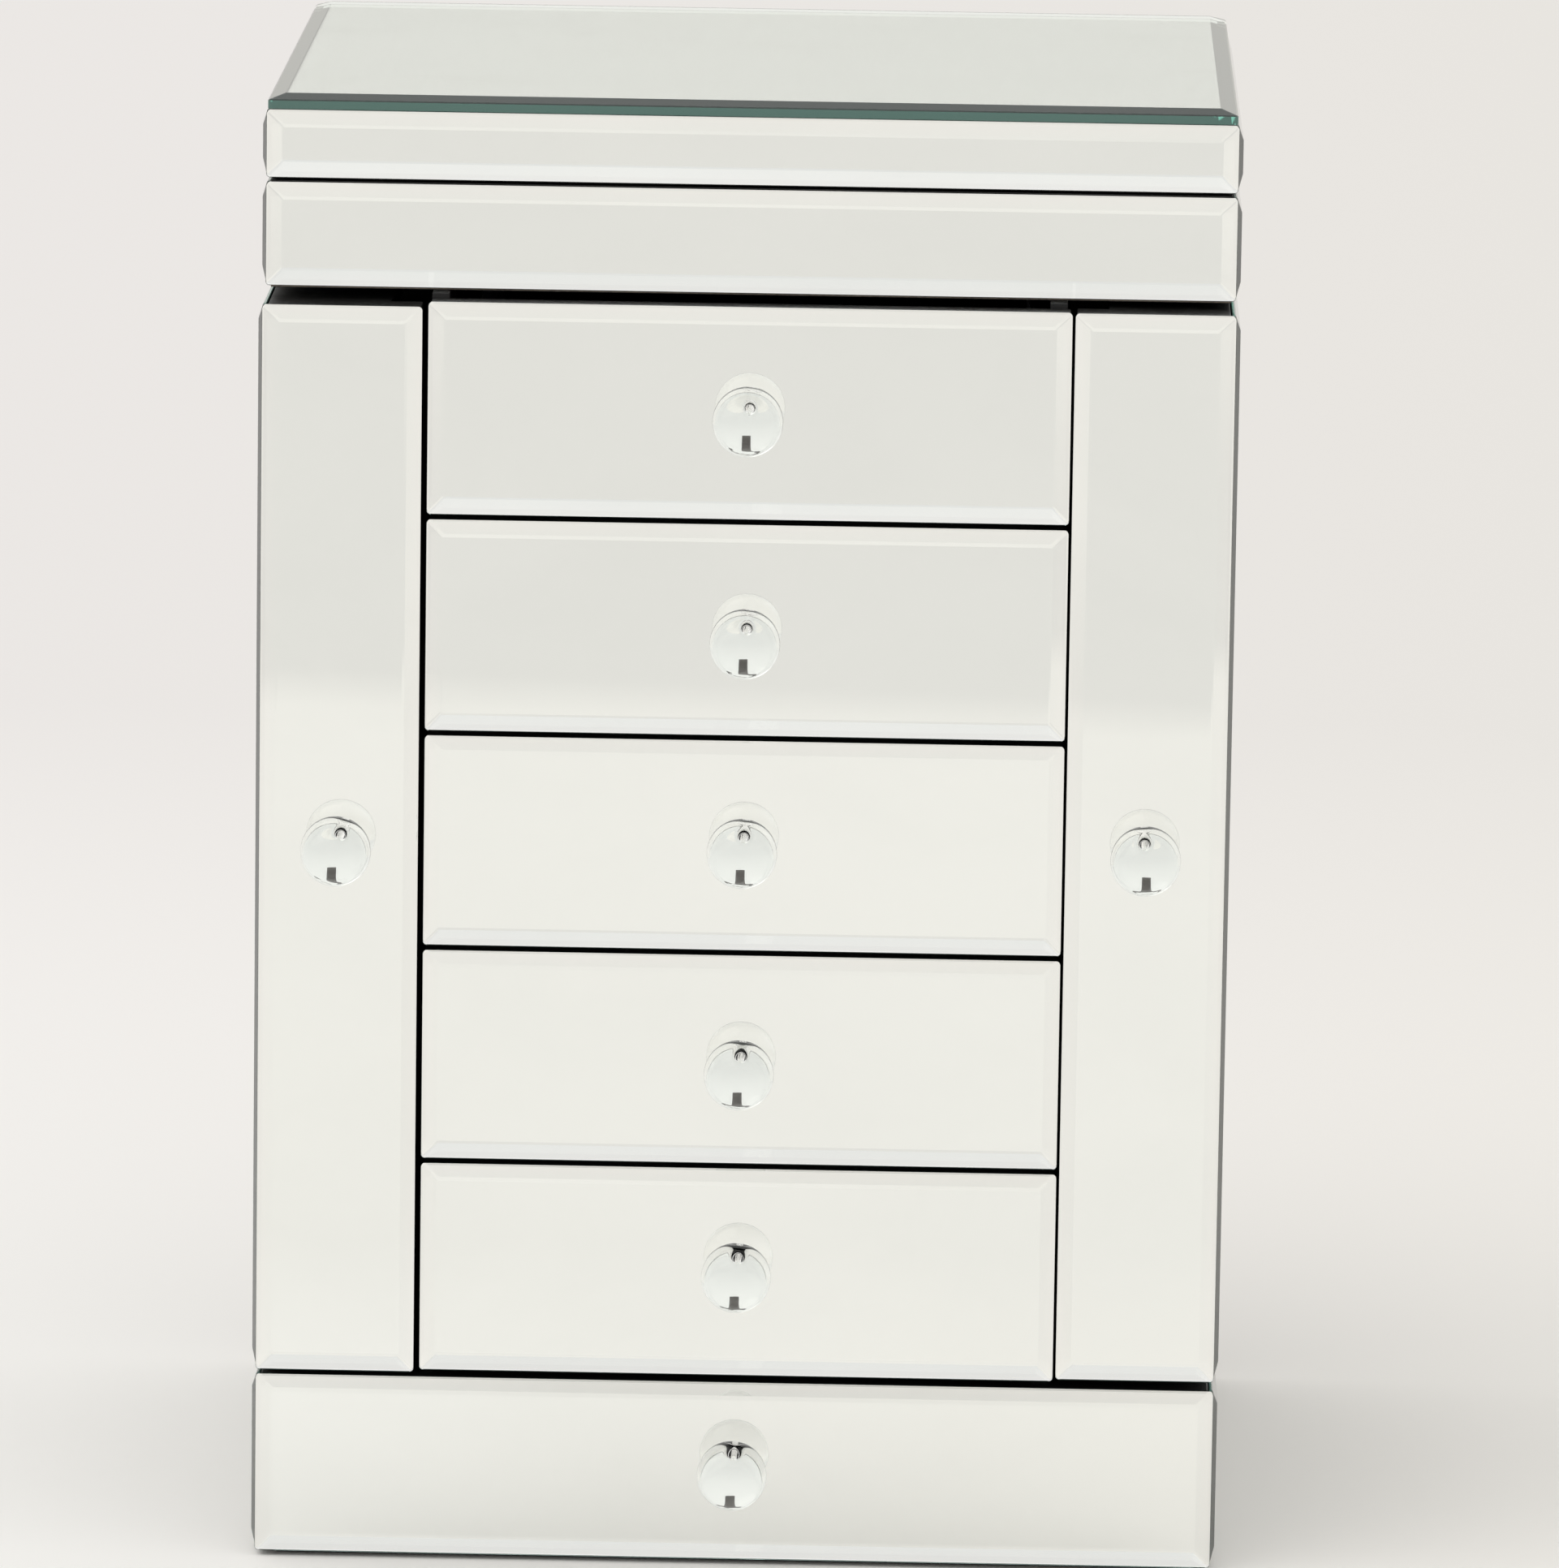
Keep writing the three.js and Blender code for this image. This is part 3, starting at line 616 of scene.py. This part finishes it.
def screw(name, body, at, radius):
    """A domed steel screw head with a cross recess, its seat at a point and facing the rear."""
    outwards = Vector((0, 1, 0))
    along = Vector((0, 0, 1)).cross(outwards).normalized()
    turn = Matrix((along, outwards.cross(along), outwards)).transposed().to_4x4()
    spin = Matrix.Rotation(sum(ord(c) for c in name) * 0.7, 4, "Z")
    place = Matrix.Translation(at) @ turn @ spin
    reach, arm = CROSS_REACH * radius, CROSS_ARM * radius
    corners = [(reach, -arm), (reach, arm), (arm, arm), (arm, reach), (-arm, reach), (-arm, arm),
               (-reach, arm), (-reach, -arm), (-arm, -arm), (-arm, -reach), (arm, -reach),
               (arm, -arm)]
    cross = []
    for (x, y), (nx, ny) in zip(corners, corners[1:] + corners[:1]):
        cross += [(x, y), ((x + nx) / 2, (y + ny) / 2)]

    def circle(r, level):
        return [(r * x / math.hypot(x, y), r * y / math.hypot(x, y), level) for x, y in cross]

    rings = [circle(radius * wide, level * radius) for wide, level in HEAD_PROFILE]
    rings += [[(x, y, HEAD_TOP * radius) for x, y in cross],
              [(x * CROSS_TAPER, y * CROSS_TAPER, CROSS_FLOOR * radius) for x, y in cross]]
    mesh = lofted(name, rings, place, [0] * (len(rings) + 1))
    finish_mesh(name, mesh, [STEEL], body)


SEAT_GAP = 0.02 * MM  # a head stands this far off the face that it is on
LEAF_FACE, LEAF_SCREW_INSET = 1.4 * MM, 8 * MM
STILE_THICK = 15 * MM
LEAF_SCREW_R, PANEL_SCREW_R, KNOB_SCREW_R = 2.3 * MM, 2.6 * MM, 3.6 * MM

for i, x in enumerate((-118, -79, -40, 0, 40, 79, 118)):
    for body in ("case", "lid"):
        node = f"lid_hinge_leaf_{body}"
        lo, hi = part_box(node)
        z = lo.z + LEAF_SCREW_INSET if body == "case" else hi.z - LEAF_SCREW_INSET
        screw(f"{node}_screw_{i + 1}", body, (x * MM, lo.y + LEAF_FACE + SEAT_GAP, z),
              LEAF_SCREW_R)
lo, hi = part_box("back_panel")
for i, x in enumerate((-0.94, -0.47, 0.0, 0.47, 0.94)):  # shares of the panel's half width
    for j, z in enumerate((lo.z + 6 * MM, (lo.z + hi.z) / 2, hi.z - 40 * MM)):
        if abs(x) > 0.9 or j != 1:
            screw(f"back_panel_screw_{i + 1}_{j + 1}", "case", (x * hi.x, hi.y + SEAT_GAP, z),
                  PANEL_SCREW_R)
for word in ("left", "right"):
    lo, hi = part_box(f"wing_{word}_knob")
    stile_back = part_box(f"wing_{word}_frame")[0].y + STILE_THICK + SEAT_GAP
    screw(f"wing_{word}_knob_screw", f"wing_{word}",
          ((lo.x + hi.x) / 2, stile_back, (lo.z + hi.z) / 2), KNOB_SCREW_R)


# ---------------------------------------------------------------- camera, floor and light

CAMERA_AT = (0.0864, -4.0277, 1.0108)
CAMERA_TURN = (-1.0845, 10.702, 0.8366)  # yaw, pitch down and roll, in degrees
# Floor tones with painted light and shade in them: a painted pool of light beside the chest, paler
# on the left, painted shade behind it and in a patch well in front.
FAR_PAINTED_SHADE, FAR_PALE = (0.80, 0.785, 0.765), (0.905, 0.886, 0.858)
NEAR_LEFT_PAINTED_LIGHT, NEAR_RIGHT_PAINTED_LIGHT = (1.0, 0.985, 0.965), (0.93, 0.90, 0.855)
REAR_LEFT_PAINTED_SHADE, REAR_RIGHT_PAINTED_SHADE = (0.825, 0.797, 0.785), (0.80, 0.776, 0.748)
FLOOR_HALF = 40
SUN_FROM = (-0.55, -0.35, 1.0)
SKY_TURN = 0.7  # the sky changes between this far ahead and this far astern


def camera():
    """A long lens far in front, a little to the right, looking down on the chest."""
    data = bpy.data.cameras.new("camera")
    data.sensor_width = 36
    data.lens = 266.9
    data.clip_start, data.clip_end = 0.1, 100
    yaw, pitch, roll = (math.radians(a) for a in CAMERA_TURN)
    forward = Vector((math.sin(yaw) * math.cos(pitch), math.cos(yaw) * math.cos(pitch),
                      -math.sin(pitch)))
    level = Vector((math.cos(yaw), -math.sin(yaw), 0))
    upright = level.cross(forward)
    right = math.cos(roll) * level + math.sin(roll) * upright
    up = math.cos(roll) * upright - math.sin(roll) * level
    rig = bpy.data.objects.new("camera", data)
    rig.matrix_world = (Matrix.Translation(CAMERA_AT)
                        @ Matrix((right, up, -forward)).transposed().to_4x4())
    SCENE.collection.objects.link(rig)
    SCENE.camera = rig


def floor():
    """A pale seamless floor with painted light and shade in its colour: palest beside the chest, a
    painted pool of light that is brightest on the left; greyer behind it, and greyer again in a
    patch well in front, both painted shade."""
    s = Shader("pale_floor_painted_light", Roughness=0.75)
    split = s.add("ShaderNodeSeparateXYZ", {0: s.coords})
    # The painted darker patch well in front: a slanting band ahead of the chest that fades out to
    # the sides.
    slant = s.add("ShaderNodeMath", {0: split.outputs["X"], 1: -0.12, 2: split.outputs["Y"]},
                  operation="MULTIPLY_ADD").outputs[0]
    off_axis = s.add("ShaderNodeMath", {0: split.outputs["X"]}, operation="ABSOLUTE").outputs[0]
    wide = s.spread(off_axis, 0.0, 1.0, 0.6, 0.9)
    near = s.spread(slant, 0.0, 1.0, -1.84, -1.74)
    pale = s.add("ShaderNodeMath", {0: near, 1: wide}, operation="MAXIMUM").outputs[0]
    # Masks of the painted pool of light beside the chest and of the painted shade behind it.
    painted_pool = s.spread(split.outputs["Y"], 0.0, 1.0, -0.62, -0.38)
    painted_rear_shade = s.spread(split.outputs["Y"], 0.0, 1.0, -0.3, 1.5)
    # Painted light falling from the left: each zone is paler on the left than on the right.
    painted_left_light = s.spread(split.outputs["X"], 0.0, 1.0, -0.4, 0.5)
    front = s.mix(pale, FAR_PAINTED_SHADE, FAR_PALE)
    beside = s.mix(painted_left_light, NEAR_LEFT_PAINTED_LIGHT, NEAR_RIGHT_PAINTED_LIGHT)
    front = s.mix(painted_pool, front, beside)
    behind = s.mix(painted_left_light, REAR_LEFT_PAINTED_SHADE, REAR_RIGHT_PAINTED_SHADE)
    s.link(s.mix(painted_rear_shade, front, behind), "Base Color")
    s.main.inputs["Specular IOR Level"].default_value = 0.0
    bm = bmesh.new()
    bmesh.ops.create_grid(bm, x_segments=4, y_segments=4, size=FLOOR_HALF)
    mesh = mesh_of("floor", bm)
    mesh.materials.append(s.material)
    stage = bpy.data.objects.new("floor", mesh)
    SCENE.collection.objects.link(stage)


def light():
    """A pale studio sky, one shade ahead of the chest and another astern, and a soft sun."""
    world = bpy.data.worlds.new("studio")
    world.use_nodes = True
    tree = world.node_tree
    coords = tree.nodes.new("ShaderNodeTexCoord")
    split = tree.nodes.new("ShaderNodeSeparateXYZ")
    tree.links.new(coords.outputs["Generated"], split.inputs[0])
    blend = tree.nodes.new("ShaderNodeMix")
    blend.data_type = "RGBA"
    turn = tree.nodes.new("ShaderNodeMapRange")
    turn.inputs["From Min"].default_value = -SKY_TURN
    turn.inputs["From Max"].default_value = SKY_TURN
    tree.links.new(split.outputs["Y"], turn.inputs["Value"])
    tree.links.new(turn.outputs["Result"], blend.inputs[MIX_AMOUNT])
    ahead = ((0.07, (0.82, 0.82, 0.81)), (0.3, (0.98, 0.98, 0.965)), (1.0, (0.86, 0.865, 0.86)))
    astern = ((0.0, (0.877, 0.862, 0.805)), (0.45, (0.88, 0.88, 0.86)),
              (1.0, (0.86, 0.865, 0.86)))
    for index, stops in ((MIX_A, ahead), (MIX_B, astern)):
        ramp = tree.nodes.new("ShaderNodeValToRGB")
        tree.links.new(split.outputs["Z"], ramp.inputs["Fac"])
        elements = ramp.color_ramp.elements
        elements.new(0.5)
        for element, (at, colour) in zip(elements, stops):
            element.position = at
            element.color = (*colour, 1)
        tree.links.new(ramp.outputs["Color"], blend.inputs[index])
    tree.links.new(blend.outputs[MIX_RESULT], tree.nodes["Background"].inputs["Color"])
    SCENE.world = world
    data = bpy.data.lights.new("key", "SUN")
    data.energy = 0.45
    data.angle = math.radians(50)
    data.color = (1.0, 0.985, 0.96)
    key = bpy.data.objects.new("key", data)
    key.rotation_euler = Vector(SUN_FROM).to_track_quat("Z", "Y").to_euler()
    SCENE.collection.objects.link(key)


CARD_X, CARD_Y, CARD_Z = (-0.07, 0.23), -4.06, (1.12, 1.74)
CARD_CROSSINGS = 2.5  # a ray has crossed more glass faces than this before it meets the card


def flag():
    """A dark card over the camera, well out of the picture. It shows in the knobs, because a ray
    through a ball and the mirror behind it crosses at least four glass faces. It is hidden from a
    ray off one mirror, which crosses only two. A ray off two mirrors in turn can meet it."""
    s = Shader("black_card", Roughness=0.9)
    s.link(s.ramp(s.noise(12, 3), (0.4, (0.045, 0.037, 0.034)), (0.6, (0.06, 0.05, 0.046))),
           "Base Color")
    depth = s.add("ShaderNodeLightPath").outputs["Transmission Depth"]
    seen = s.add("ShaderNodeMath", {0: depth, 1: CARD_CROSSINGS}, operation="GREATER_THAN")
    s.link(seen.outputs[0], "Alpha")
    mesh = bpy.data.meshes.new("card")
    (x0, x1), (z0, z1) = CARD_X, CARD_Z
    corners = [(x0, CARD_Y, z0), (x1, CARD_Y, z0), (x1, CARD_Y, z1), (x0, CARD_Y, z1)]
    mesh.from_pydata(corners, [], [(0, 1, 2, 3)])
    mesh.materials.append(s.material)
    card = bpy.data.objects.new("card", mesh)
    SCENE.collection.objects.link(card)


camera()
floor()
light()
flag()
SCENE.view_settings.view_transform = "Standard"
